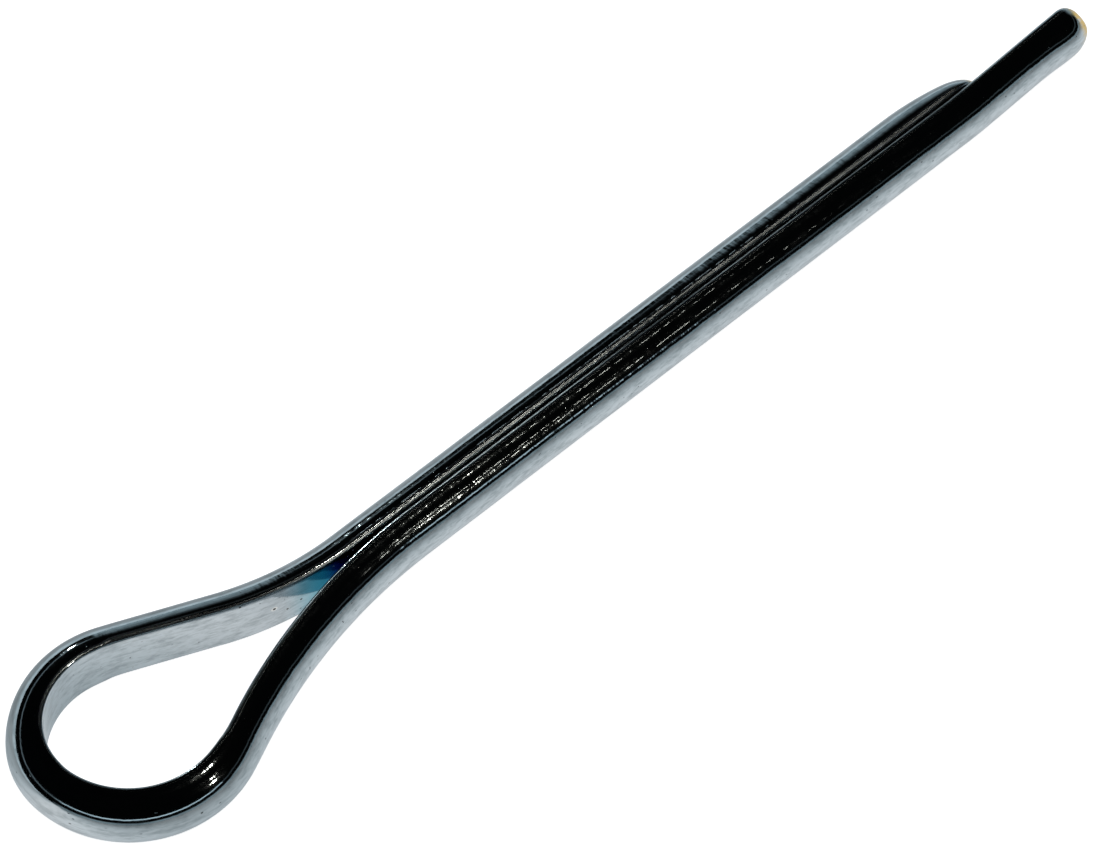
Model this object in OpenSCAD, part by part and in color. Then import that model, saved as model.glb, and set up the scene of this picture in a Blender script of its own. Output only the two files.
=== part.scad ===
// Cotter pin: one length of half-round steel wire, folded round an eye so that
// its two flat sides meet and the two legs make one round shank.
// The shank lies along X with its tips at +X, and the eye lies flat in XY.
// The origin is on the shank's axis, where the long leg bends away into the eye.

/* [Wire] */
// Diameter of the closed shank, made by two half-round legs
shank_d = 3.05; // [2.8:0.05:3.3]
// Gap between the flat sides of the two legs
leg_gap = 0.08; // [0.07:0.01:0.15]
// Broken edge between the flat side and the round side
edge_break = 0.2; // [0.1:0.05:0.3]

/* [Legs] */
// Short leg, from the origin to its tip
short_leg = 33.5; // [30:0.5:36]
// Long leg, from the origin to where its end starts to lean inwards
long_leg = 31.6; // [28:0.1:31.6]
// Radius of the small bend where the long leg starts to lean
lean_r = 23; // [20:1:30]
// Angle by which the long leg's end leans over the short tip
lean_a = 2.76; // [2:0.01:2.8]
// Straight length of the leaning end, with its rounded tip
lean_len = 6.9; // [6:0.1:8]

/* [Tips] */
// Radius of the ball that rounds the long tip
long_ball_r = 1.7; // [1.7:0.1:2.2]
// Radius of the ball that rounds the short tip
short_ball_r = 2.4; // [2:0.1:2.8]

/* [Eye] */
// Angle at which the long leg's side of the eye leaves the shank
long_neck_a = 25.1; // [24:0.1:26]
// Bend radius of that side's neck
long_neck_r = 27; // [25:0.5:29]
// Straight length of that side, after its neck
long_side = 1.1; // [0.8:0.1:2]
// First bend round the eye, on the long leg's side
near_r = 4; // [3.6:0.1:4.4]
// Angle of the first bend
near_a = 108.4; // [107:0.1:111]
// Second and tightest bend, at the far end of the eye
end_r = 2.5; // [2.2:0.1:3]
// Angle of the second bend
end_a = 42.6; // [41:0.1:44]
// Third bend, on the short leg's side
far_r = 3.6; // [3.2:0.1:4]
// Angle at which the short leg's side of the eye comes back to the shank
short_neck_a = 22.8; // [22:0.1:24]
// Bend radius of that side's neck
short_neck_r = 15.5; // [14:0.5:18]

/* [Hidden] */
$fn = 96;
shank_r = shank_d / 2;
flat_y = leg_gap / 2;
// Space that a cutting block keeps beyond the wire
clear = 1;

// The wire's side, seen along its route
LEFT = 1;
RIGHT = -1;

// A step of the route is a straight run or a bend. A bend turns left when its angle is positive.
function straight(length) = ["straight", length];
function bend(radius, angle) = ["bend", radius, angle];
function tail(steps) = [for (i = [1:1:len(steps) - 1]) steps[i]];

// How far a step moves sideways, when it starts at a heading
function step_rise(step, heading) =
    step[0] == "straight"
    ? step[1] * sin(heading)
    : sign(step[2]) * step[1] * (cos(heading) - cos(heading + step[2]));
function step_turn(step) = step[0] == "straight" ? 0 : step[2];
function route_rise(steps, heading) =
    len(steps) == 0
    ? 0
    : step_rise(steps[0], heading) + route_rise(tail(steps), heading + step_turn(steps[0]));

// How far a step moves forward, when it starts at a heading
function step_run(step, heading) =
    step[0] == "straight"
    ? step[1] * cos(heading)
    : sign(step[2]) * step[1] * (sin(heading + step[2]) - sin(heading));
function route_run(steps, heading) =
    len(steps) == 0
    ? 0
    : step_run(steps[0], heading) + route_run(tail(steps), heading + step_turn(steps[0]));

// The third bend takes what is left of the turn, so that the short leg ends up along the shank
far_a = 180 + long_neck_a + short_neck_a - near_a - end_a;
LOOP = [
    bend(long_neck_r, long_neck_a),
    straight(long_side),
    bend(near_r, -near_a),
    bend(end_r, -end_a),
    bend(far_r, -far_a)
];
// The straight on the short leg's side closes the loop: it ends where its neck meets the axis
loop_rise = route_rise(LOOP, 0);
neck_rise = short_neck_r * (1 - cos(short_neck_a));
short_side = (-loop_rise - neck_rise) / sin(short_neck_a);
RETURN = [straight(short_side), bend(short_neck_r, short_neck_a)];
EYE = concat(LOOP, RETURN);
// Where the short leg starts: the eye's route is drawn heading away from the tips
short_start = -route_run(EYE, 0);
short_straight = short_leg - short_start - short_ball_r;
long_straight = lean_len - long_ball_r;
LONG_END = [straight(long_leg), bend(lean_r, lean_a), straight(long_straight)];
SHORT_END = [straight(short_straight)];

// Half-round section with its flat at flat_y, and its two sharp edges broken
module section(side) {
    flat_h = shank_r - edge_break;
    outer = shank_r + clear;
    cut = outer - flat_h;
    half = [[flat_y, -flat_h], [flat_y, flat_h], [flat_y + cut, outer]];
    outline = concat(half, [[outer + cut, outer], [outer + cut, -outer], [flat_y + cut, -outer]]);
    intersection() {
        circle(r = shank_r);
        polygon([for (p = outline) [side * p.x, p.y]]);
    }
}

module straight_wire(length, side) {
    rotate([90, 0, 90])
        linear_extrude(height = length)
            section(side);
}

// Everything within reach on one side of the plane x = 0
module half_space(reach, forward) {
    translate([forward ? 0 : -2 * reach, -2 * reach, -reach])
        cube([2 * reach, 4 * reach, 2 * reach]);
}

// A bend is a full ring of the section, cut off at the planes of its two ends
module bent_wire(radius, angle, side) {
    turn = sign(angle);
    reach = radius + shank_r + clear;
    difference() {
        translate([0, turn * radius, 0])
            rotate_extrude()
                translate([radius, 0])
                    section(-turn * side);
        half_space(reach, false);
        after(bend(radius, angle))
            half_space(reach, true);
    }
}

module wire_step(step, side) {
    if (step[0] == "straight") {
        straight_wire(step[1], side);
    } else {
        bent_wire(step[1], step[2], side);
    }
}

// Places its children at the end of a step, facing along the wire
module after(step) {
    if (step[0] == "straight") {
        translate([step[1], 0, 0])
            children();
    } else {
        centre = sign(step[2]) * step[1];
        translate([0, centre, 0])
            rotate([0, 0, step[2]])
                translate([0, -centre, 0])
                    children();
    }
}

// Lays the wire along its steps, and puts its children at the end
module wire(steps, side) {
    wire_step(steps[0], side);
    after(steps[0]) {
        if (len(steps) > 1) {
            wire(tail(steps), side)
                children();
        } else {
            children();
        }
    }
}

// Last bit of a leg, rounded over by a ball whose centre is on the leg's flat side
module rounded_tip(ball_r, side) {
    block = ball_r + clear;
    difference() {
        straight_wire(ball_r, side);
        difference() {
            translate([0, -block, -block])
                cube([block, 2 * block, 2 * block]);
            sphere(r = ball_r);
        }
    }
}

module cotter_pin() {
    color([0.74, 0.76, 0.78]) {
        wire(LONG_END, RIGHT)
            rounded_tip(long_ball_r, RIGHT);
        rotate([0, 0, 180])
            wire(concat(EYE, SHORT_END), LEFT)
                rounded_tip(short_ball_r, LEFT);
    }
}

cotter_pin();
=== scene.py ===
"""A cotter pin: one length of half-round, zinc-plated steel wire, folded round an eye.

Sizes are in millimetres and angles in degrees. Meshes are written in metres.
"""

import logging
import math
from dataclasses import dataclass, field, replace
from enum import Enum

import bpy
import numpy as np
from mathutils import Matrix, Vector


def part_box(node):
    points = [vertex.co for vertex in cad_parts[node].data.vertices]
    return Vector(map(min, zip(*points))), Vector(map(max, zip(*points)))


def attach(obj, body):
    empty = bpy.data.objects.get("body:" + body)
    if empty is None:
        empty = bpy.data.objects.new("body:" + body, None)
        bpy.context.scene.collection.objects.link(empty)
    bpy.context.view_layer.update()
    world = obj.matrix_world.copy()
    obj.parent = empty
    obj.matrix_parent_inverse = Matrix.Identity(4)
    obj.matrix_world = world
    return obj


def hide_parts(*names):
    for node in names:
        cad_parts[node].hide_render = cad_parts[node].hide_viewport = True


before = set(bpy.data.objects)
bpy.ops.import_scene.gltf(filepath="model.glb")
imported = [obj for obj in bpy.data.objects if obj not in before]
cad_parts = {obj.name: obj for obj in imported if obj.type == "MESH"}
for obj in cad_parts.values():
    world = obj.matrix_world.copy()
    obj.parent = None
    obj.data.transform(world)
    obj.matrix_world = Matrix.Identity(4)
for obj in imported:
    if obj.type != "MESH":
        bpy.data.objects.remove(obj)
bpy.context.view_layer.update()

log = logging.getLogger("cotter_pin")

MM = 0.001
PIN_NODE = "cotter_pin"
WIRE_MAP = "wire"
Colour = tuple[float, float, float]
# Where a step has its value 0, and where it has its value 1
Span = tuple[float, float]


class Mask(Enum):
    """Values kept at each point of the pin, for its finish to read."""

    FLAT = "flat_side"
    EDGE = "edge"
    TIP = "tip"
    # The neck mask marks where the neck's flat sides get painted shade, teal and blue.
    NECK_SHADE = "neck"


@dataclass(frozen=True)
class Straight:
    """A straight run of wire."""

    length: float

    @property
    def curvature(self) -> float:
        """Turn to the left in radians for each millimetre."""
        return 0.0


@dataclass(frozen=True)
class Bend:
    """An arc of wire. It turns left when its angle is positive."""

    radius: float
    angle: float

    @property
    def length(self) -> float:
        """Length of the arc."""
        return self.radius * math.radians(abs(self.angle))

    @property
    def curvature(self) -> float:
        """Turn to the left in radians for each millimetre."""
        return math.copysign(1 / self.radius, self.angle)


@dataclass
class Stations:
    """Places along the wire, with what is true of the wire there.

    Every field holds one value, or one row, for each station.
    """

    along: np.ndarray
    place: np.ndarray
    heading: np.ndarray
    curvature: np.ndarray


@dataclass(frozen=True)
class WireRoute:
    """The line that the wire follows, from the long leg's tip round the eye to the short tip.

    Each bend eases in and out, over the ease length on both sides of its ends.
    """

    short_leg: float = 33.5
    long_leg: float = 31.6
    lean_r: float = 23.0
    lean_a: float = 2.76
    lean_len: float = 6.84
    long_neck_a: float = 25.1
    long_neck_r: float = 27.0
    long_side: float = 1.1
    near_r: float = 4.0
    near_a: float = 108.4
    end_r: float = 2.5
    end_a: float = 42.6
    far_r: float = 3.6
    short_neck_a: float = 22.8
    short_neck_r: float = 15.5
    ease: float = 0.3
    fine_step: float = 0.01

    @property
    def far_a(self) -> float:
        """Angle of the third bend, which takes what is left of the turn."""
        return 180 + self.long_neck_a + self.short_neck_a - self.near_a - self.end_a

    def eye_steps(self) -> list[Straight | Bend]:
        """The bends from the long neck to the last bend of the eye."""
        return [
            Bend(self.long_neck_r, self.long_neck_a),
            Straight(self.long_side),
            Bend(self.near_r, -self.near_a),
            Bend(self.end_r, -self.end_a),
            Bend(self.far_r, -self.far_a),
        ]

    def closing_steps(self) -> list[Straight | Bend]:
        """The short leg's side of the eye, its neck and the short leg."""
        eye_end = self.walk_ends(self.eye_steps())
        neck_rise = self.short_neck_r * (1 - math.cos(math.radians(self.short_neck_a)))
        slope = math.radians(self.short_neck_a)
        side = (abs(eye_end[1]) - neck_rise) / math.sin(slope)
        back = side * math.cos(slope) + self.short_neck_r * math.sin(slope)
        return [
            Straight(side),
            Bend(self.short_neck_r, self.short_neck_a),
            Straight(self.short_leg - (eye_end[0] + back)),
        ]

    @staticmethod
    def walk_ends(steps: list[Straight | Bend]) -> tuple[float, float]:
        """Where the steps end, when they start at the origin and head along -X.

        Args:
            steps: The steps to follow.

        Returns:
            The x and y of their end.
        """
        x, y, heading = 0.0, 0.0, math.pi
        for step in steps:
            if isinstance(step, Straight):
                x += step.length * math.cos(heading)
                y += step.length * math.sin(heading)
            else:
                turned = heading + math.radians(step.angle)
                side = math.copysign(step.radius, step.angle)
                x += side * (math.sin(turned) - math.sin(heading))
                y += side * (math.cos(heading) - math.cos(turned))
                heading = turned
        return x, y

    def stations(self, spacing: float) -> Stations:
        """Walks the whole route and keeps a station at even steps.

        Args:
            spacing: About how far apart the stations are.

        Returns:
            The stations, from the long tip to the short tip.
        """
        tail = [Straight(self.lean_len), Bend(self.lean_r, -self.lean_a), Straight(self.long_leg)]
        steps = tail + self.eye_steps() + self.closing_steps()
        ends = np.cumsum([step.length for step in steps])
        origin_at = sum(step.length for step in tail)
        short_leg_at = ends[-2]
        count = int(round(ends[-1] / self.fine_step))
        along = np.linspace(0, ends[-1], count + 1)
        bends = np.array([step.curvature for step in steps])
        which = np.searchsorted(ends, along, side="right").clip(0, len(steps) - 1)
        curvature = self.eased(bends[which])
        step = along[1] - along[0]
        turns = np.concatenate([[0], np.cumsum((curvature[1:] + curvature[:-1]) / 2 * step)])
        heading = math.radians(180 + self.lean_a) + turns
        middle = (heading[1:] + heading[:-1]) / 2
        moves = np.stack([np.cos(middle), np.sin(middle)], 1) * step
        place = np.concatenate([np.zeros((1, 2)), np.cumsum(moves, 0)])
        place -= place[int(round(origin_at / step))]
        # The eased bends miss the closing point by a hair, which the eye takes up evenly.
        share = ((along - origin_at) / (short_leg_at - origin_at)).clip(0, 1)
        place[:, 1] -= place[-1, 1] * share
        kept = np.linspace(0, count, int(round(ends[-1] / spacing)) + 1).round().astype(int)
        return Stations(along[kept], place[kept], heading[kept], curvature[kept])

    def eased(self, curvature: np.ndarray) -> np.ndarray:
        """Softens the start and end of each bend, as in wire that was bent round a peg.

        Args:
            curvature: Curvature at even fine steps, with jumps.

        Returns:
            The curvature with its jumps spread over the ease length.
        """
        half = int(round(self.ease / self.fine_step))
        kernel = np.hanning(2 * half + 1)
        padded = np.pad(curvature, half, mode="edge")
        return np.convolve(padded, kernel / kernel.sum(), mode="valid")


@dataclass(frozen=True)
class HalfRound:
    """The wire's section: a round side, a flat side and two softened edges."""

    radius: float = 1.517
    flat_at: float = 0.04
    flat_cuts: int = 16
    edge_cuts: int = 8
    round_cuts: int = 60

    def outline(self, edge_r: np.ndarray) -> tuple[np.ndarray, np.ndarray]:
        """Sections with the edge radius that each station has.

        Args:
            edge_r: Radius of the softened edges at each station.

        Returns:
            How far each point lies out from the wire's middle plane, and its height.
        """
        edge_r = edge_r[:, None]
        centre_out = self.flat_at + edge_r
        centre_up = np.sqrt((self.radius - edge_r) ** 2 - centre_out**2)
        meet = np.arctan2(centre_up, centre_out)
        flat = np.linspace(-1, 1, self.flat_cuts + 1)[None, :-1]
        edge = np.linspace(0, 1, self.edge_cuts + 1)[None, :-1]
        sweep = np.linspace(1, -1, self.round_cuts + 1)[None, :-1]
        upper = math.pi + (meet - math.pi) * edge
        lower = -meet - (math.pi - meet) * edge
        out = [
            self.flat_at + 0 * centre_up * flat,
            centre_out + edge_r * np.cos(upper),
            self.radius * np.cos(meet * sweep),
            centre_out + edge_r * np.cos(lower),
        ]
        up = [
            centre_up * flat,
            centre_up + edge_r * np.sin(upper),
            self.radius * np.sin(meet * sweep),
            -centre_up + edge_r * np.sin(lower),
        ]
        return np.concatenate(out, 1), np.concatenate(up, 1)

    @property
    def points(self) -> int:
        """Number of points round a section."""
        return self.flat_cuts + 2 * self.edge_cuts + self.round_cuts

    def is_flat(self) -> np.ndarray:
        """1 at the points of the flat side, and 0 elsewhere."""
        mask = np.zeros(self.points)
        mask[: self.flat_cuts + 1] = 1
        return mask

    def is_edge(self) -> np.ndarray:
        """1 at the softened edges, falling to 0 on both sides."""
        mask = np.zeros(self.points)
        upper = self.flat_cuts
        lower = self.flat_cuts + self.edge_cuts + self.round_cuts
        for start in (upper, lower):
            mask[start : start + self.edge_cuts + 1] = 1
        return mask


@dataclass(frozen=True)
class RoundedTip:
    """How a leg's end is rounded over, from its end face back along the leg.

    It reaches its full depth and height at the out and up lengths, and it closes at a distance
    out from the wire's middle plane. A sheared end may swell a little just before it rounds over.
    """

    out_len: float
    up_len: float
    closes_at: float
    swell: float = 0.0
    swell_at: float = 1.2
    rings: int = 18

    def scale(self, back: np.ndarray, length: float) -> np.ndarray:
        """Share of the full section left, on an elliptic profile.

        Args:
            back: Distance back from the end.
            length: Length over which the profile reaches the full section.

        Returns:
            The share, from 0 at the end to 1.
        """
        reach = (1 - back / length).clip(0, 1)
        return np.sqrt(1 - reach**2)


@dataclass(frozen=True)
class Relief:
    """Slow unevenness of the drawn wire, kept inward so that the wire never grows."""

    depth: float = 0.012
    waves: int = 40
    shortest: float = 1.5
    longest: float = 14.0
    most_round: int = 5
    seed: int = 11

    def field(self, along: np.ndarray, turn: np.ndarray) -> np.ndarray:
        """Depth of the unevenness at each point.

        Args:
            along: Distance along the wire at each point.
            turn: Place round the section, as an angle in radians.

        Returns:
            Inward depth at each point, from 0 to the full depth.
        """
        rng = np.random.default_rng(self.seed)
        total = np.zeros(np.broadcast(along, turn).shape)
        for _ in range(self.waves):
            length = self.shortest * (self.longest / self.shortest) ** rng.random()
            lobes = rng.integers(0, self.most_round + 1)
            phase = rng.random() * math.tau
            total += np.cos(along * math.tau / length + lobes * turn + phase) * length
        total -= total.min()
        return self.depth * total / total.max()


@dataclass(frozen=True)
class Pattern:
    """An uneven pattern: its scale along the wire and round it, and how fine its detail is."""

    along: float
    round_it: float
    detail: float = 2.0
    rough: float = 0.5
    shift: float = 0.0


class Sheet:
    """A node tree with short calls for adding and joining nodes."""

    def __init__(self, tree: bpy.types.NodeTree) -> None:
        """Takes an empty tree.

        Args:
            tree: The tree to fill.
        """
        self.tree = tree

    def add(self, kind: str, inputs: dict | None = None, **settings: object) -> bpy.types.Node:
        """Adds a node.

        Args:
            kind: Blender's name for the node's type.
            inputs: Values or sockets for the node's inputs, by name or number.
            **settings: The node's own properties.

        Returns:
            The new node.
        """
        node = self.tree.nodes.new(kind)
        for name, value in settings.items():
            setattr(node, name, value)
        for name, value in (inputs or {}).items():
            self.feed(node.inputs[name], value)
        return node

    def feed(self, socket: bpy.types.NodeSocket, value: object) -> None:
        """Links a socket to an input, or sets the input's value.

        Args:
            socket: The input.
            value: A socket to link from, or a value.
        """
        if isinstance(value, bpy.types.NodeSocket):
            self.tree.links.new(value, socket)
        elif isinstance(value, tuple) and len(value) == 3 and socket.type == "RGBA":
            socket.default_value = (*value, 1.0)
        else:
            socket.default_value = value

    def maths(self, operation: str, *values: object, clamp: bool = False) -> bpy.types.NodeSocket:
        """Adds a Math node.

        Args:
            operation: The operation's name.
            *values: Numbers or sockets.
            clamp: Whether the result stays from 0 to 1.

        Returns:
            The result.
        """
        node = self.add("ShaderNodeMath", operation=operation, use_clamp=clamp)
        for number, value in enumerate(values):
            self.feed(node.inputs[number], value)
        return node.outputs[0]

    def ramp(self, value: object, span: Span) -> bpy.types.NodeSocket:
        """Smooth step of a value from 0 to 1.

        Args:
            value: A socket.
            span: Where the step starts and ends. It may run downwards.

        Returns:
            The step.
        """
        node = self.add(
            "ShaderNodeMapRange", {"Value": value, "From Min": span[0], "From Max": span[1]},
            interpolation_type="SMOOTHSTEP",
        )
        return node.outputs["Result"]

    def mix(self, share: object, first: object, second: object) -> bpy.types.NodeSocket:
        """Mixes two colours.

        Args:
            share: How much of the second colour there is.
            first: First colour.
            second: Second colour.

        Returns:
            The mixed colour.
        """
        node = self.add("ShaderNodeMix", data_type="RGBA")
        for number, value in ((0, share), (6, first), (7, second)):
            self.feed(node.inputs[number], value)
        return node.outputs[2]

    def scaled(
        self, vector: object, along: float, round_it: float, shift: float = 0.0
    ) -> bpy.types.NodeSocket:
        """Wire coordinates at another scale.

        Args:
            vector: Wire coordinates in millimetres.
            along: Scale along the wire.
            round_it: Scale round it.
            shift: Moves the pattern to another part of its texture.

        Returns:
            The scaled coordinates.
        """
        node = self.add(
            "ShaderNodeMapping",
            {"Vector": vector, "Location": (shift, shift, shift), "Scale": (along, round_it, 1.0)},
        )
        return node.outputs[0]

    def noise(self, vector: object, pattern: Pattern) -> bpy.types.NodeSocket:
        """Adds a Noise texture.

        Args:
            vector: Wire coordinates in millimetres.
            pattern: The pattern to draw.

        Returns:
            The noise, around 0.5.
        """
        place = self.scaled(vector, pattern.along, pattern.round_it, pattern.shift)
        inputs = {"Vector": place, "Scale": 1.0, "Detail": pattern.detail, "Roughness": pattern.rough}
        return self.add("ShaderNodeTexNoise", inputs).outputs[0]


@dataclass(frozen=True)
class DrawMark:
    """A broken line that the drawing die left along one stretch of the wire."""

    round_it: float
    start: float
    end: float
    strength: float = 1.0
    depth: float = 0.0006


@dataclass(frozen=True)
class Pit:
    """A small hole in the plate, with a paler ring round it."""

    along: float
    round_it: float
    radius: float
    halo: float = 0.0


@dataclass(frozen=True)
class ZincPlate:
    """Bright, faintly blue zinc on drawn steel wire.

    Heights and depths are in millimetres, and patterns are scaled to a millimetre.
    """

    colour: Colour = (0.485, 0.535, 0.565)
    shade: Colour = (0.30, 0.34, 0.36)
    # Painted shade: teal and blue put on the neck's flat sides, where the wedge between the legs lies in
    # tinted shade.
    teal: Colour = (0.13, 0.42, 0.52)
    blue: Colour = (0.02, 0.05, 0.34)
    # Amber on the tips: part stain, part painted warm highlight.
    amber: Colour = (0.62, 0.42, 0.10)
    bare: Colour = (0.80, 0.80, 0.76)
    soot: Colour = (0.02, 0.017, 0.015)
    edge_tint: Colour = (0.78, 0.80, 0.82)

    cloud: Pattern = Pattern(0.8, 2.4, 4.0, 0.65)
    grain: Pattern = Pattern(2.5, 7.0, 3.0, 0.6)
    lines: Pattern = Pattern(0.10, 9.0, 3.0, 0.7)
    fine_lines: Pattern = Pattern(0.5, 30.0, 2.0, 0.6)
    ripple: Pattern = Pattern(2.4, 0.7, shift=3.0)
    speck_gate: Pattern = Pattern(0.6, 1.2, shift=7.0)
    fleck: Pattern = Pattern(3.0, 6.0, 1.0, shift=21.0)
    broken: Pattern = Pattern(2.6, 0.1, shift=10.0)
    speck_along: float = 1.4
    speck_round: float = 2.4
    speck_scale: float = 1.6

    mottle_span: Span = (0.66, 1.05)
    shade_teal_span: Span = (0.0, 0.65)
    shade_blue_span: Span = (0.60, 1.0)
    amber_span: Span = (0.95, 1.3)
    gate_span: Span = (0.50, 0.62)
    speck_span: Span = (0.13, 0.07)
    fleck_span: Span = (0.66, 0.74)
    fleck_cloud_span: Span = (0.50, 0.62)
    worn_span: Span = (0.30, 0.60)
    broken_span: Span = (0.42, 0.62)

    grain_in_mottle: float = 0.6
    cloud_in_amber: float = 0.8
    mottle_share: float = 0.9
    blotch_share: float = 0.6
    halo_share: float = 0.8
    speck_share: float = 0.85

    roughness: float = 0.045
    mottle_roughness: float = 0.05
    worn_roughness: float = 0.28
    mark_roughness: float = 0.30

    line_height: float = 0.0006
    fine_height: float = 0.0001
    grain_height: float = 0.0005
    ripple_height: float = 0.010
    speck_depth: float = 0.006
    flat_relief: float = 0.08

    mark_width: float = 0.035
    mark_fade: float = 6.0
    marks: tuple[DrawMark, ...] = (
        DrawMark(2.95, 76.0, 103.0, depth=0.010),
        DrawMark(3.15, 18.0, 38.0, 0.9),
        DrawMark(3.51, 26.0, 43.0, 0.8),
        DrawMark(3.64, 14.0, 44.0),
    )
    hole_span: Span = (1.2, 0.7)
    halo_span: Span = (2.2, 1.7)
    pits: tuple[Pit, ...] = (
        Pit(73.9, 1.38, 0.075, 0.8),
        Pit(74.5, 0.90, 0.055, 0.2),
        Pit(75.15, 1.13, 0.06),
        Pit(67.7, 1.10, 0.035),
        Pit(72.4, 2.60, 0.06),
        Pit(70.6, 0.75, 0.03),
    )

    def build(self) -> bpy.types.Material:
        """Makes the material.

        Returns:
            The material.
        """
        material = bpy.data.materials.new("zinc_plate")
        material.use_nodes = True
        material.node_tree.nodes.clear()
        sheet = Sheet(material.node_tree)
        wire = sheet.add("ShaderNodeUVMap", uv_map=WIRE_MAP).outputs[0]
        mask = {m: sheet.add("ShaderNodeAttribute", attribute_name=m.value).outputs["Fac"] for m in Mask}

        cloud = sheet.noise(wire, self.cloud)
        grain = sheet.noise(wire, self.grain)
        lines = sheet.noise(wire, self.lines)
        speck = self.specks(sheet, wire)
        rows, grooves = self.draw_marks(sheet, wire)
        grain_part = sheet.maths("MULTIPLY", grain, self.grain_in_mottle)
        mottle = sheet.ramp(sheet.maths("ADD", cloud, grain_part), self.mottle_span)

        base = sheet.mix(sheet.maths("MULTIPLY", mottle, self.mottle_share), self.colour, self.shade)
        base = self.stain_and_painted_light(sheet, base, mask, cloud)
        base = self.spotted(sheet, base, wire, cloud, speck)

        rough = sheet.maths("ADD", self.roughness, sheet.maths("MULTIPLY", mottle, self.mottle_roughness))
        rough = sheet.maths("MULTIPLY_ADD", rows, self.mark_roughness, rough)
        worn = sheet.maths("MULTIPLY", mask[Mask.EDGE], sheet.ramp(lines, self.worn_span))
        rough = sheet.maths("ADD", rough, sheet.maths("MULTIPLY", worn, self.worn_roughness))

        height = sheet.maths("MULTIPLY", lines, self.line_height)
        height = sheet.maths("MULTIPLY_ADD", sheet.noise(wire, self.fine_lines), self.fine_height, height)
        height = sheet.maths("MULTIPLY_ADD", grain, self.grain_height, height)
        height = sheet.maths("MULTIPLY_ADD", sheet.noise(wire, self.ripple), self.ripple_height, height)
        height = sheet.maths("SUBTRACT", height, grooves)
        round_side = sheet.maths("SUBTRACT", 1.0, mask[Mask.FLAT])
        relief = sheet.maths("MULTIPLY_ADD", round_side, 1.0 - self.flat_relief, self.flat_relief)
        height = sheet.maths("MULTIPLY", height, relief)
        height = sheet.maths("SUBTRACT", height, sheet.maths("MULTIPLY", speck, self.speck_depth))
        bump = sheet.add("ShaderNodeBump", {"Strength": 1.0, "Distance": MM, "Height": height})

        shader = sheet.add(
            "ShaderNodeBsdfPrincipled",
            {
                "Base Color": base,
                "Metallic": 1.0,
                "Roughness": rough,
                "Specular Tint": self.edge_tint,
                "Normal": bump.outputs[0],
            },
        )
        sheet.add("ShaderNodeOutputMaterial", {"Surface": shader.outputs[0]})
        return material

    def stain_and_painted_light(
        self,
        sheet: Sheet,
        base: bpy.types.NodeSocket,
        mask: dict[Mask, bpy.types.NodeSocket],
        cloud: bpy.types.NodeSocket,
    ) -> bpy.types.NodeSocket:
        """Paints teal and blue shade on the neck's flat sides, and amber on the tips: part stain, part
        painted highlight.

        Args:
            sheet: The material's nodes.
            base: The plate's colour.
            mask: The values kept at each point of the pin.
            cloud: The plate's cloudy pattern.

        Returns:
            The colour, with the painted shade and the amber added.
        """
        # Painted shade: the neck's flat sides, deep in the wedge between the legs, turn teal and then
        # blue.
        painted_neck_shade = sheet.maths("MULTIPLY", mask[Mask.NECK_SHADE], mask[Mask.FLAT])
        base = sheet.mix(sheet.ramp(painted_neck_shade, self.shade_teal_span), base, self.teal)
        base = sheet.mix(sheet.ramp(painted_neck_shade, self.shade_blue_span), base, self.blue)
        # The tips' amber, part stain and part painted warm highlight, broken up by the cloud.
        cloudy = sheet.maths("MULTIPLY", cloud, self.cloud_in_amber)
        amber_stain_and_highlight = sheet.ramp(sheet.maths("ADD", mask[Mask.TIP], cloudy), self.amber_span)
        return sheet.mix(amber_stain_and_highlight, base, self.amber)

    def spotted(
        self,
        sheet: Sheet,
        base: bpy.types.NodeSocket,
        wire: bpy.types.NodeSocket,
        cloud: bpy.types.NodeSocket,
        speck: bpy.types.NodeSocket,
    ) -> bpy.types.NodeSocket:
        """Adds grey flecks, pits with their rings, and dark specks.

        Args:
            sheet: The material's nodes.
            base: The plate's colour.
            wire: Wire coordinates in millimetres.
            cloud: The plate's cloudy pattern.
            speck: 1 on the specks and 0 beside them.

        Returns:
            The spotted colour.
        """
        fleck = sheet.ramp(sheet.noise(wire, self.fleck), self.fleck_span)
        blotch = sheet.maths("MULTIPLY", fleck, sheet.ramp(cloud, self.fleck_cloud_span))
        holes, halos = self.pit_marks(sheet, wire)
        base = sheet.mix(sheet.maths("MULTIPLY", blotch, self.blotch_share), base, self.shade)
        base = sheet.mix(sheet.maths("MULTIPLY", halos, self.halo_share), base, self.bare)
        dark = sheet.maths("MAXIMUM", sheet.maths("MULTIPLY", speck, self.speck_share), holes)
        return sheet.mix(dark, base, self.soot)

    def specks(self, sheet: Sheet, wire: bpy.types.NodeSocket) -> bpy.types.NodeSocket:
        """Scatters tiny dark specks, in loose groups.

        Args:
            sheet: The material's nodes.
            wire: Wire coordinates in millimetres.

        Returns:
            1 on the specks and 0 beside them.
        """
        place = sheet.scaled(wire, self.speck_along, self.speck_round)
        dots = sheet.add("ShaderNodeTexVoronoi", {"Vector": place, "Scale": self.speck_scale})
        gate = sheet.ramp(sheet.noise(wire, self.speck_gate), self.gate_span)
        return sheet.maths("MULTIPLY", sheet.ramp(dots.outputs["Distance"], self.speck_span), gate)

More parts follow.
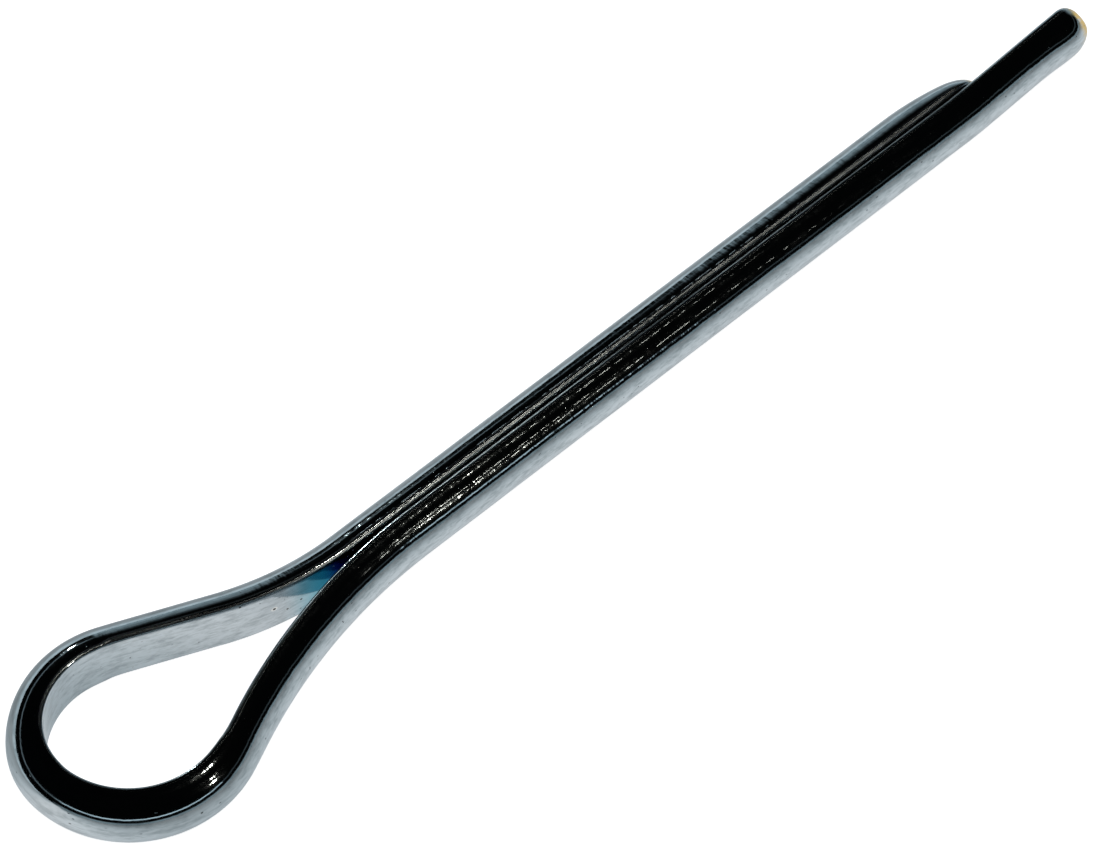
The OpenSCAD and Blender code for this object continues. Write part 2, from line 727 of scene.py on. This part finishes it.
    def draw_marks(
        self, sheet: Sheet, wire: bpy.types.NodeSocket
    ) -> tuple[bpy.types.NodeSocket, bpy.types.NodeSocket]:
        """Lays out the broken lines along the wire.

        Args:
            sheet: The material's nodes.
            wire: Wire coordinates in millimetres.

        Returns:
            1 on the lines and 0 beside them, and how deep they are.
        """
        split = sheet.add("ShaderNodeSeparateXYZ", {0: wire})
        along, round_it = split.outputs["X"], split.outputs["Y"]
        shown, depth = 0.0, 0.0
        for number, mark in enumerate(self.marks):
            away = sheet.maths("ABSOLUTE", sheet.maths("SUBTRACT", round_it, mark.round_it))
            line = sheet.ramp(away, (self.mark_width, self.mark_width / 3))
            pattern = replace(self.broken, shift=self.broken.shift + number)
            broken = sheet.ramp(sheet.noise(wire, pattern), self.broken_span)
            line = sheet.maths("MULTIPLY", line, broken)
            stretch = sheet.maths(
                "MULTIPLY",
                sheet.ramp(along, (mark.start, mark.start + self.mark_fade)),
                sheet.ramp(along, (mark.end, mark.end - self.mark_fade / 2)),
            )
            line = sheet.maths("MULTIPLY", line, stretch)
            shown = sheet.maths("MULTIPLY_ADD", line, mark.strength, shown)
            depth = sheet.maths("MULTIPLY_ADD", line, mark.depth, depth)
        return shown, depth

    def pit_marks(
        self, sheet: Sheet, wire: bpy.types.NodeSocket
    ) -> tuple[bpy.types.NodeSocket, bpy.types.NodeSocket]:
        """Lays out the pits.

        Args:
            sheet: The material's nodes.
            wire: Wire coordinates in millimetres.

        Returns:
            1 inside the pits, and how pale the rings round them are.
        """
        holes, halos = 0.0, 0.0
        for pit in self.pits:
            centre = (pit.along, pit.round_it, 0.0)
            node = sheet.add("ShaderNodeVectorMath", {0: wire, 1: centre}, operation="DISTANCE")
            away = sheet.maths("DIVIDE", node.outputs["Value"], pit.radius)
            hole = sheet.ramp(away, self.hole_span)
            halo = sheet.maths("SUBTRACT", sheet.ramp(away, self.halo_span), hole)
            holes = sheet.maths("MAXIMUM", holes, hole)
            halos = sheet.maths("MULTIPLY_ADD", halo, pit.halo, halos)
        return holes, halos


@dataclass
class PinShape:
    """Points and faces of the pin, before they become a Blender mesh."""

    points: np.ndarray
    faces: list[tuple[int, ...]]
    along: np.ndarray
    round_it: np.ndarray
    masks: dict[Mask, np.ndarray]


@dataclass
class CotterPin:
    """The pin: a half-round wire swept along its route, with both ends rounded over.

    Tight bends press the wire's inner side wider, by the flare, and sharpen its edges. The tips are
    painted amber back over the tip's amber length, part stain and part painted highlight, and the
    neck's flat sides get painted shade, teal and blue, from neck_from to neck_end in x.
    """

    route: WireRoute = field(default_factory=WireRoute)
    section: HalfRound = field(default_factory=HalfRound)
    long_tip: RoundedTip = field(default_factory=lambda: RoundedTip(1.1, 1.3, 0.95, swell=0.10))
    short_tip: RoundedTip = field(default_factory=lambda: RoundedTip(4.6, 1.6, 0.12, rings=28))
    relief: Relief = field(default_factory=Relief)
    plate: ZincPlate = field(default_factory=ZincPlate)
    spacing: float = 0.15
    edge_r: float = 0.21
    bent_edge_r: float = 0.12
    flare: float = 0.22
    flare_spread: float = 0.9
    tip_amber_len: float = 2.0
    neck_from: float = -6.4
    neck_len: float = 3.6
    neck_end: float = 2.0

    def build(self) -> bpy.types.Object:
        """Builds and dresses the pin.

        Returns:
            The pin's object.
        """
        shape = self.shape()
        mesh = bpy.data.meshes.new("cotter_pin_wire")
        mesh.from_pydata((shape.points * MM).tolist(), [], shape.faces)
        self.map_wire(mesh, shape)
        for mask, values in shape.masks.items():
            layer = mesh.attributes.new(mask.value, "FLOAT", "POINT")
            layer.data.foreach_set("value", values.astype(np.float32))
        mesh.polygons.foreach_set("use_smooth", [True] * len(mesh.polygons))
        mesh.validate()
        mesh.materials.append(self.plate.build())
        pin = bpy.data.objects.new("pin_wire", mesh)
        bpy.context.scene.collection.objects.link(pin)
        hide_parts(PIN_NODE)
        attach(pin, "root")
        return pin

    def all_stations(self) -> Stations:
        """Stations of the whole wire, with closer ones where the tips round over.

        Returns:
            The stations.
        """
        even = self.route.stations(self.spacing)
        length = even.along[-1]
        start = self.tip_steps(self.long_tip)
        end = self.tip_steps(self.short_tip)
        gap = self.spacing / 2
        inside = (even.along > start[-1] + gap) & (even.along < length - end[-1] - gap)
        middle = even.along[inside]
        along = np.concatenate([start, middle, (length - end)[::-1]])
        return Stations(
            along,
            np.stack([np.interp(along, even.along, even.place[:, i]) for i in range(2)], 1),
            np.interp(along, even.along, even.heading),
            np.interp(along, even.along, even.curvature),
        )

    @staticmethod
    def tip_steps(tip: RoundedTip) -> np.ndarray:
        """Distances back from a tip at which its sections lie.

        Args:
            tip: The tip's rounding.

        Returns:
            The distances, closest to the end first.
        """
        angle = np.linspace(0, math.pi / 2, tip.rings + 1)[1:]
        return max(tip.out_len, tip.up_len) * (1 - np.cos(angle))

    def shape(self) -> PinShape:
        """Sweeps the section along the route.

        Returns:
            The pin's points, faces and masks.
        """
        at = self.all_stations()
        bend = (np.abs(at.curvature) * self.route.end_r).clip(0, 1)
        edge_r = self.edge_r + (self.bent_edge_r - self.edge_r) * bend
        out, up = self.section.outline(edge_r)
        steps = np.hypot(np.diff(out, axis=1), np.diff(up, axis=1)).mean(0)
        round_it = np.concatenate([[0], np.cumsum(steps)])
        turn = np.arctan2(up, out)
        sunk = self.relief.field(at.along[:, None], turn)
        span = np.hypot(out, up)
        shrink = 1 - sunk / span
        out, up = out * shrink, up * shrink
        out = np.maximum(out, self.section.flat_at)
        out = out - self.pushed_in(at, out)

        length = at.along[-1]
        back_long, back_short = at.along, length - at.along
        for back, tip in ((back_long, self.long_tip), (back_short, self.short_tip)):
            out_scale = tip.scale(back, tip.out_len)[:, None]
            up_scale = tip.scale(back, tip.up_len)[:, None]
            swell = tip.swell * np.exp(-(((back / tip.swell_at) - 1) ** 2))[:, None]
            out = out + swell * (out / self.section.radius).clip(0, 1)
            out = tip.closes_at + (out - tip.closes_at) * out_scale
            up = up * up_scale

        left = np.stack([-np.sin(at.heading), np.cos(at.heading)], 1)
        flat_place = at.place[:, None, :] + left[:, None, :] * out[:, :, None]
        rings = np.concatenate([flat_place, up[:, :, None]], 2)
        count, width = up.shape
        first = self.tip_point(at, 0, self.long_tip)
        last = self.tip_point(at, -1, self.short_tip)
        points = np.concatenate([rings.reshape(-1, 3), [first, last]])
        faces = self.ring_faces(count, width)
        masks = self.masks(at, count, width)
        return PinShape(points, faces, at.along, round_it, masks)

    def pushed_in(self, at: Stations, out: np.ndarray) -> np.ndarray:
        """How far the wire's inner side swells into the eye where the wire is bent tightly.

        Args:
            at: The wire's stations.
            out: How far each point lies out from the wire's middle plane.

        Returns:
            The swelling at each point, largest on the flat side.
        """
        radius = self.section.radius
        half = int(round(self.flare_spread / self.spacing))
        kernel = np.hanning(2 * half + 1)
        padded = np.pad((-at.curvature).clip(0, None), half, mode="edge")
        tight = np.convolve(padded, kernel / kernel.sum(), mode="valid")[:, None] * radius
        near_flat = ((radius - out) / (radius - self.section.flat_at)).clip(0, 1)
        return self.flare * tight * near_flat

    def tip_point(self, at: Stations, index: int, tip: RoundedTip) -> np.ndarray:
        """The point that closes a tip.

        Args:
            at: The wire's stations.
            index: 0 for the long tip or -1 for the short one.
            tip: The tip's rounding.

        Returns:
            The point.
        """
        heading = at.heading[index]
        left = np.array([-math.sin(heading), math.cos(heading)])
        ahead = np.array([math.cos(heading), math.sin(heading)])
        step = self.tip_steps(tip)[0]
        away = -step if index == 0 else step
        place = at.place[index] + left * tip.closes_at + ahead * away
        return np.array([place[0], place[1], 0.0])

    @staticmethod
    def ring_faces(count: int, width: int) -> list[tuple[int, ...]]:
        """Faces between the rings, and the fans that close the two tips.

        Args:
            count: Number of rings.
            width: Points in each ring.

        Returns:
            The faces, with their fronts outward.
        """
        ring = np.arange(count - 1)[:, None] * width
        here = np.arange(width)[None, :]
        after = (here + 1) % width
        quads = np.stack([ring + here, ring + after, ring + width + after, ring + width + here], 2)
        faces = [tuple(q) for q in quads.reshape(-1, 4).tolist()]
        first, last = count * width, count * width + 1
        end = (count - 1) * width
        for j in range(width):
            k = (j + 1) % width
            faces.append((first, k, j))
            faces.append((last, end + j, end + k))
        return faces

    def masks(self, at: Stations, count: int, width: int) -> dict[Mask, np.ndarray]:
        """Values at each point that the finish reads.

        Args:
            at: The wire's stations.
            count: Number of rings.
            width: Points in each ring.

        Returns:
            One value for each point and mask.
        """
        whole = np.ones((count, width))
        back = np.minimum(at.along, at.along[-1] - at.along)
        tip = (1 - back / self.tip_amber_len).clip(0, 1)
        x = at.place[:, 0]
        # Painted shade on the neck's flat sides: it rises from neck_from over neck_len and fades out
        # towards neck_end.
        neck = ((x - self.neck_from) / self.neck_len).clip(0, 1)
        neck *= ((self.neck_end - x) / self.neck_end).clip(0, 1)
        tables = {
            Mask.FLAT: whole * self.section.is_flat()[None, :],
            Mask.EDGE: whole * self.section.is_edge()[None, :],
            Mask.TIP: whole * tip[:, None],
            Mask.NECK_SHADE: whole * neck[:, None],
        }
        ends = {Mask.FLAT: 0.0, Mask.EDGE: 0.0, Mask.TIP: 1.0, Mask.NECK_SHADE: 0.0}
        return {m: np.append(t.ravel(), [ends[m]] * 2) for m, t in tables.items()}

    @staticmethod
    def map_wire(mesh: bpy.types.Mesh, shape: PinShape) -> None:
        """Writes the map whose first coordinate runs along the wire and second round it, in mm.

        Args:
            mesh: The pin's mesh.
            shape: Its points and faces.
        """
        width = len(shape.round_it)
        count = len(shape.along)
        full_turn = shape.round_it[-1] + shape.round_it[1]
        corners = np.array([v for face in shape.faces for v in face])
        sizes = np.array([len(face) for face in shape.faces])
        starts = np.concatenate([[0], np.cumsum(sizes)[:-1]])
        ring = np.minimum(corners // width, count - 1)
        spot = corners % width
        u = shape.along[ring]
        v = shape.round_it[spot]
        highest = np.repeat(np.maximum.reduceat(spot, starts), sizes)
        v = np.where((spot == 0) & (highest == width - 1), full_turn, v)
        tips = corners >= count * width
        u = np.where(tips, np.where(corners == count * width, 0.0, shape.along[-1]), u)
        v = np.where(tips, full_turn / 2, v)
        layer = mesh.uv_layers.new(name=WIRE_MAP)
        layer.data.foreach_set("uv", np.stack([u, v], 1).astype(np.float32).ravel())


@dataclass(frozen=True)
class Lamp:
    """A small far light that the wire's bumps and edges catch.

    The turn is its angle from straight up, seen along the shank and towards the short leg.
    The lead is the share of its direction that runs along the shank.
    """

    name: str
    turn: float
    lead: float
    power: float
    colour: Colour = (1.0, 0.93, 0.80)
    size: float = 30.0
    distance: float = 600.0

    def build(self) -> bpy.types.Object:
        """Hangs the lamp, facing the pin.

        Returns:
            The lamp's object.
        """
        light = bpy.data.lights.new(self.name, "AREA")
        light.shape = "DISK"
        light.size = self.size * MM
        light.energy = self.power
        light.color = self.colour
        across = math.sqrt(1 - self.lead**2)
        turn = math.radians(self.turn)
        direction = Vector((self.lead, across * math.sin(turn), across * math.cos(turn)))
        lamp = bpy.data.objects.new(self.name, light)
        lamp.location = direction * self.distance * MM
        lamp.rotation_mode = "QUATERNION"
        lamp.rotation_quaternion = direction.to_track_quat("Z", "Y")
        bpy.context.scene.collection.objects.link(lamp)
        return lamp


LAMPS = (
    Lamp("low_lamp", -53.0, 0.30, 0.13),
    Lamp("front_lamp", -42.0, 0.30, 0.05),
    Lamp("top_lamp", -14.0, 0.28, 0.14),
    Lamp("seam_lamp", 76.0, 0.28, 0.24, colour=(0.88, 1.0, 1.0)),
)


@dataclass(frozen=True)
class View:
    """A long lens over the pin, looking down across the shank."""

    azimuth: float = 44.27
    elevation: float = 58.52
    roll: float = 4.0
    aim: tuple[float, float, float] = (7.77, -0.32, 0.0)
    distance: float = 199.5
    nearest: float = 10.0
    lens: float = 156.0
    sensor: float = 36.0

    def build(self) -> None:
        """Makes the camera and puts it in its place."""
        azimuth, elevation, roll = (math.radians(a) for a in (self.azimuth, self.elevation, self.roll))
        ahead = Vector((math.cos(azimuth), math.sin(azimuth), 0.0))
        look = ahead * math.cos(elevation) - Vector((0, 0, 1)) * math.sin(elevation)
        level = Vector((math.sin(azimuth), -math.cos(azimuth), 0.0))
        above = level.cross(look)
        right = level * math.cos(roll) + above * math.sin(roll)
        up = above * math.cos(roll) - level * math.sin(roll)
        data = bpy.data.cameras.new("camera")
        data.lens = self.lens
        data.sensor_width = self.sensor
        data.clip_start = self.nearest * MM
        camera = bpy.data.objects.new("camera", data)
        place = (Vector(self.aim) - look * self.distance) * MM
        turn = Matrix((right, up, -look)).transposed().to_4x4()
        camera.matrix_world = Matrix.Translation(place) @ turn
        bpy.context.scene.collection.objects.link(camera)
        bpy.context.scene.camera = camera


@dataclass(frozen=True)
class Studio:
    """A plain pale floor and the light round it.

    The floor glows most round the pin, less further out, and more again some way behind it. Past
    its edge the room is dark, but for a low glow in front, a thin bright rim all round and a soft
    glow past the tips. Directions in the room are shares: lead along X, side along Y.
    """

    floor_r: float = 600.0
    floor_sides: int = 128
    floor_colour: Colour = (0.50, 0.50, 0.50)
    floor_roughness: float = 0.9
    floor_white: float = 0.93
    near_glow: float = 0.83
    far_glow: float = 0.07
    front_reach: float = 7.0
    back_reach: float = 3.5
    under_dip: float = 0.12
    under_near: float = 1.2
    under_far: float = 3.0
    back_glow: float = 0.50
    back_near: float = 8.0
    back_far: float = 20.0
    far_tint: Colour = (0.73, 0.92, 1.0)
    key_power: float = 1.6
    key_size: float = 500.0
    key_height: float = 500.0
    dark: float = 0.0015
    low_glow: float = 0.40
    low_top: float = 5.5
    low_soft: float = 0.02
    rim_low: float = 15.2
    rim_high: float = 18.4
    rim_soft: float = 0.012
    rim_light: float = 0.07
    rim_front: float = 0.95
    rim_back: float = 0.16
    front_span: Span = (0.1, -0.1)
    near_span: Span = (0.395, 0.378)
    end_glow: float = 0.5
    end_lead: Span = (0.40, 0.45)
    end_side: Span = (-0.1, 0.1)
    end_height: Span = (0.5, 0.0)

    def build(self, floor_z: float) -> None:
        """Builds the floor and the lights.

        Args:
            floor_z: Height of the floor, in metres.
        """
        self.floor(floor_z)
        self.world()
        self.key(floor_z)
        for lamp in LAMPS:
            lamp.build()
        view = bpy.context.scene.view_settings
        view.view_transform = "Standard"
        view.look = "None"

    def floor(self, floor_z: float) -> None:
        """Lays a wide pale disc under the pin.

        Args:
            floor_z: Its height, in metres.
        """
        mesh = bpy.data.meshes.new("floor")
        count = self.floor_sides
        turn = np.arange(count) * math.tau / count
        ring = np.stack([np.cos(turn), np.sin(turn), np.zeros(count)], 1) * self.floor_r * MM
        mesh.from_pydata(ring.tolist(), [], [tuple(range(count))])
        floor = bpy.data.objects.new("floor", mesh)
        floor.location.z = floor_z
        bpy.context.scene.collection.objects.link(floor)
        mesh.materials.append(self.paper())

    def paper(self) -> bpy.types.Material:
        """Makes the floor's material: white to the eye, and a panel of light to the metal.

        Returns:
            The material.
        """
        material = bpy.data.materials.new("floor_paper")
        material.use_nodes = True
        material.node_tree.nodes.clear()
        sheet = Sheet(material.node_tree)
        place = sheet.add("ShaderNodeTexCoord").outputs["Object"]
        y = sheet.add("ShaderNodeSeparateXYZ", {0: place}).outputs["Y"]
        front = sheet.maths("DIVIDE", sheet.maths("MINIMUM", y, 0.0), self.front_reach * MM)
        behind = sheet.maths("DIVIDE", sheet.maths("MAXIMUM", y, 0.0), self.back_reach * MM)
        out = sheet.maths("ADD", front, behind)
        spread = sheet.maths("ADD", 1.0, sheet.maths("MULTIPLY", out, out))
        fall = sheet.maths("DIVIDE", 1.0, spread)
        glow = sheet.maths("MULTIPLY_ADD", fall, self.near_glow - self.far_glow, self.far_glow)
        # Painted shadow: the glow dips right under the pin, standing in for the pin's contact shadow on
        # the floor as the metal sees it.
        under = sheet.ramp(sheet.maths("ABSOLUTE", y), (self.under_near * MM, self.under_far * MM))
        dip = sheet.maths("MULTIPLY_ADD", under, self.under_dip, 1.0 - self.under_dip)
        glow = sheet.maths("MULTIPLY", glow, dip)
        back = sheet.ramp(y, (self.back_near * MM, self.back_far * MM))
        glow = sheet.maths("MULTIPLY_ADD", back, self.back_glow, glow)
        seen = sheet.add("ShaderNodeLightPath").outputs["Is Camera Ray"]
        strength = sheet.add("ShaderNodeMix", {0: seen, 2: glow, 3: self.floor_white}).outputs[0]
        tint = sheet.mix(fall, self.far_tint, (1.0, 1.0, 1.0))
        shader = sheet.add(
            "ShaderNodeBsdfPrincipled",
            {
                "Base Color": self.floor_colour,
                "Roughness": self.floor_roughness,
                "Specular IOR Level": 0.0,
                "Emission Color": sheet.mix(seen, tint, (1.0, 1.0, 1.0)),
                "Emission Strength": strength,
            },
        )
        sheet.add("ShaderNodeOutputMaterial", {"Surface": shader.outputs[0]})
        return material

    def world(self) -> None:
        """Sets the dark room, its glows and its thin bright rim."""
        world = bpy.data.worlds.new("studio")
        bpy.context.scene.world = world
        world.use_nodes = True
        world.node_tree.nodes.clear()
        sheet = Sheet(world.node_tree)
        direction = sheet.add("ShaderNodeTexCoord").outputs["Generated"]
        split = sheet.add("ShaderNodeSeparateXYZ", {0: direction})
        lead, side, height = (split.outputs[name] for name in "XYZ")
        low, high, top = (math.sin(math.radians(a)) for a in (self.rim_low, self.rim_high, self.low_top))
        rim = sheet.maths(
            "MULTIPLY",
            sheet.ramp(height, (low - self.rim_soft, low + self.rim_soft)),
            sheet.ramp(height, (high + self.rim_soft, high - self.rim_soft)),
        )
        front = sheet.ramp(side, self.front_span)
        near = sheet.ramp(lead, self.near_span)
        boost = sheet.maths("MULTIPLY_ADD", front, self.rim_front - self.rim_back, self.rim_back)
        strength = sheet.maths("MULTIPLY_ADD", near, boost, self.rim_light)
        glow = sheet.ramp(height, (top + self.low_soft, top - self.low_soft))
        glow = sheet.maths("MULTIPLY", glow, front)
        end = sheet.maths(
            "MULTIPLY", sheet.ramp(lead, self.end_lead), sheet.ramp(height, self.end_height)
        )
        end = sheet.maths("MULTIPLY", end, sheet.ramp(side, self.end_side))
        total = sheet.maths("MULTIPLY_ADD", rim, strength, self.dark)
        total = sheet.maths("MULTIPLY_ADD", glow, self.low_glow, total)
        total = sheet.maths("MULTIPLY_ADD", end, self.end_glow, total)
        background = sheet.add("ShaderNodeBackground", {"Color": self.far_tint, "Strength": total})
        sheet.add("ShaderNodeOutputWorld", {"Surface": background.outputs[0]})

    def key(self, floor_z: float) -> None:
        """Hangs the wide soft light over the floor. It isn't seen in the metal.

        Args:
            floor_z: Height of the floor, in metres.
        """
        light = bpy.data.lights.new("key", "AREA")
        light.shape = "DISK"
        light.size = self.key_size * MM
        light.energy = self.key_power
        lamp = bpy.data.objects.new("key", light)
        lamp.location = (0.0, 0.0, floor_z + self.key_height * MM)
        lamp.visible_glossy = False
        bpy.context.scene.collection.objects.link(lamp)


def main() -> None:
    """Builds the pin, the studio round it and the camera."""
    logging.basicConfig(level=logging.INFO, format="%(message)s")
    floor_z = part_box(PIN_NODE)[0].z
    pin = CotterPin().build()
    log.info("%s: %d faces", pin.name, len(pin.data.polygons))
    Studio().build(floor_z)
    View().build()


if __name__ == "__main__":
    main()
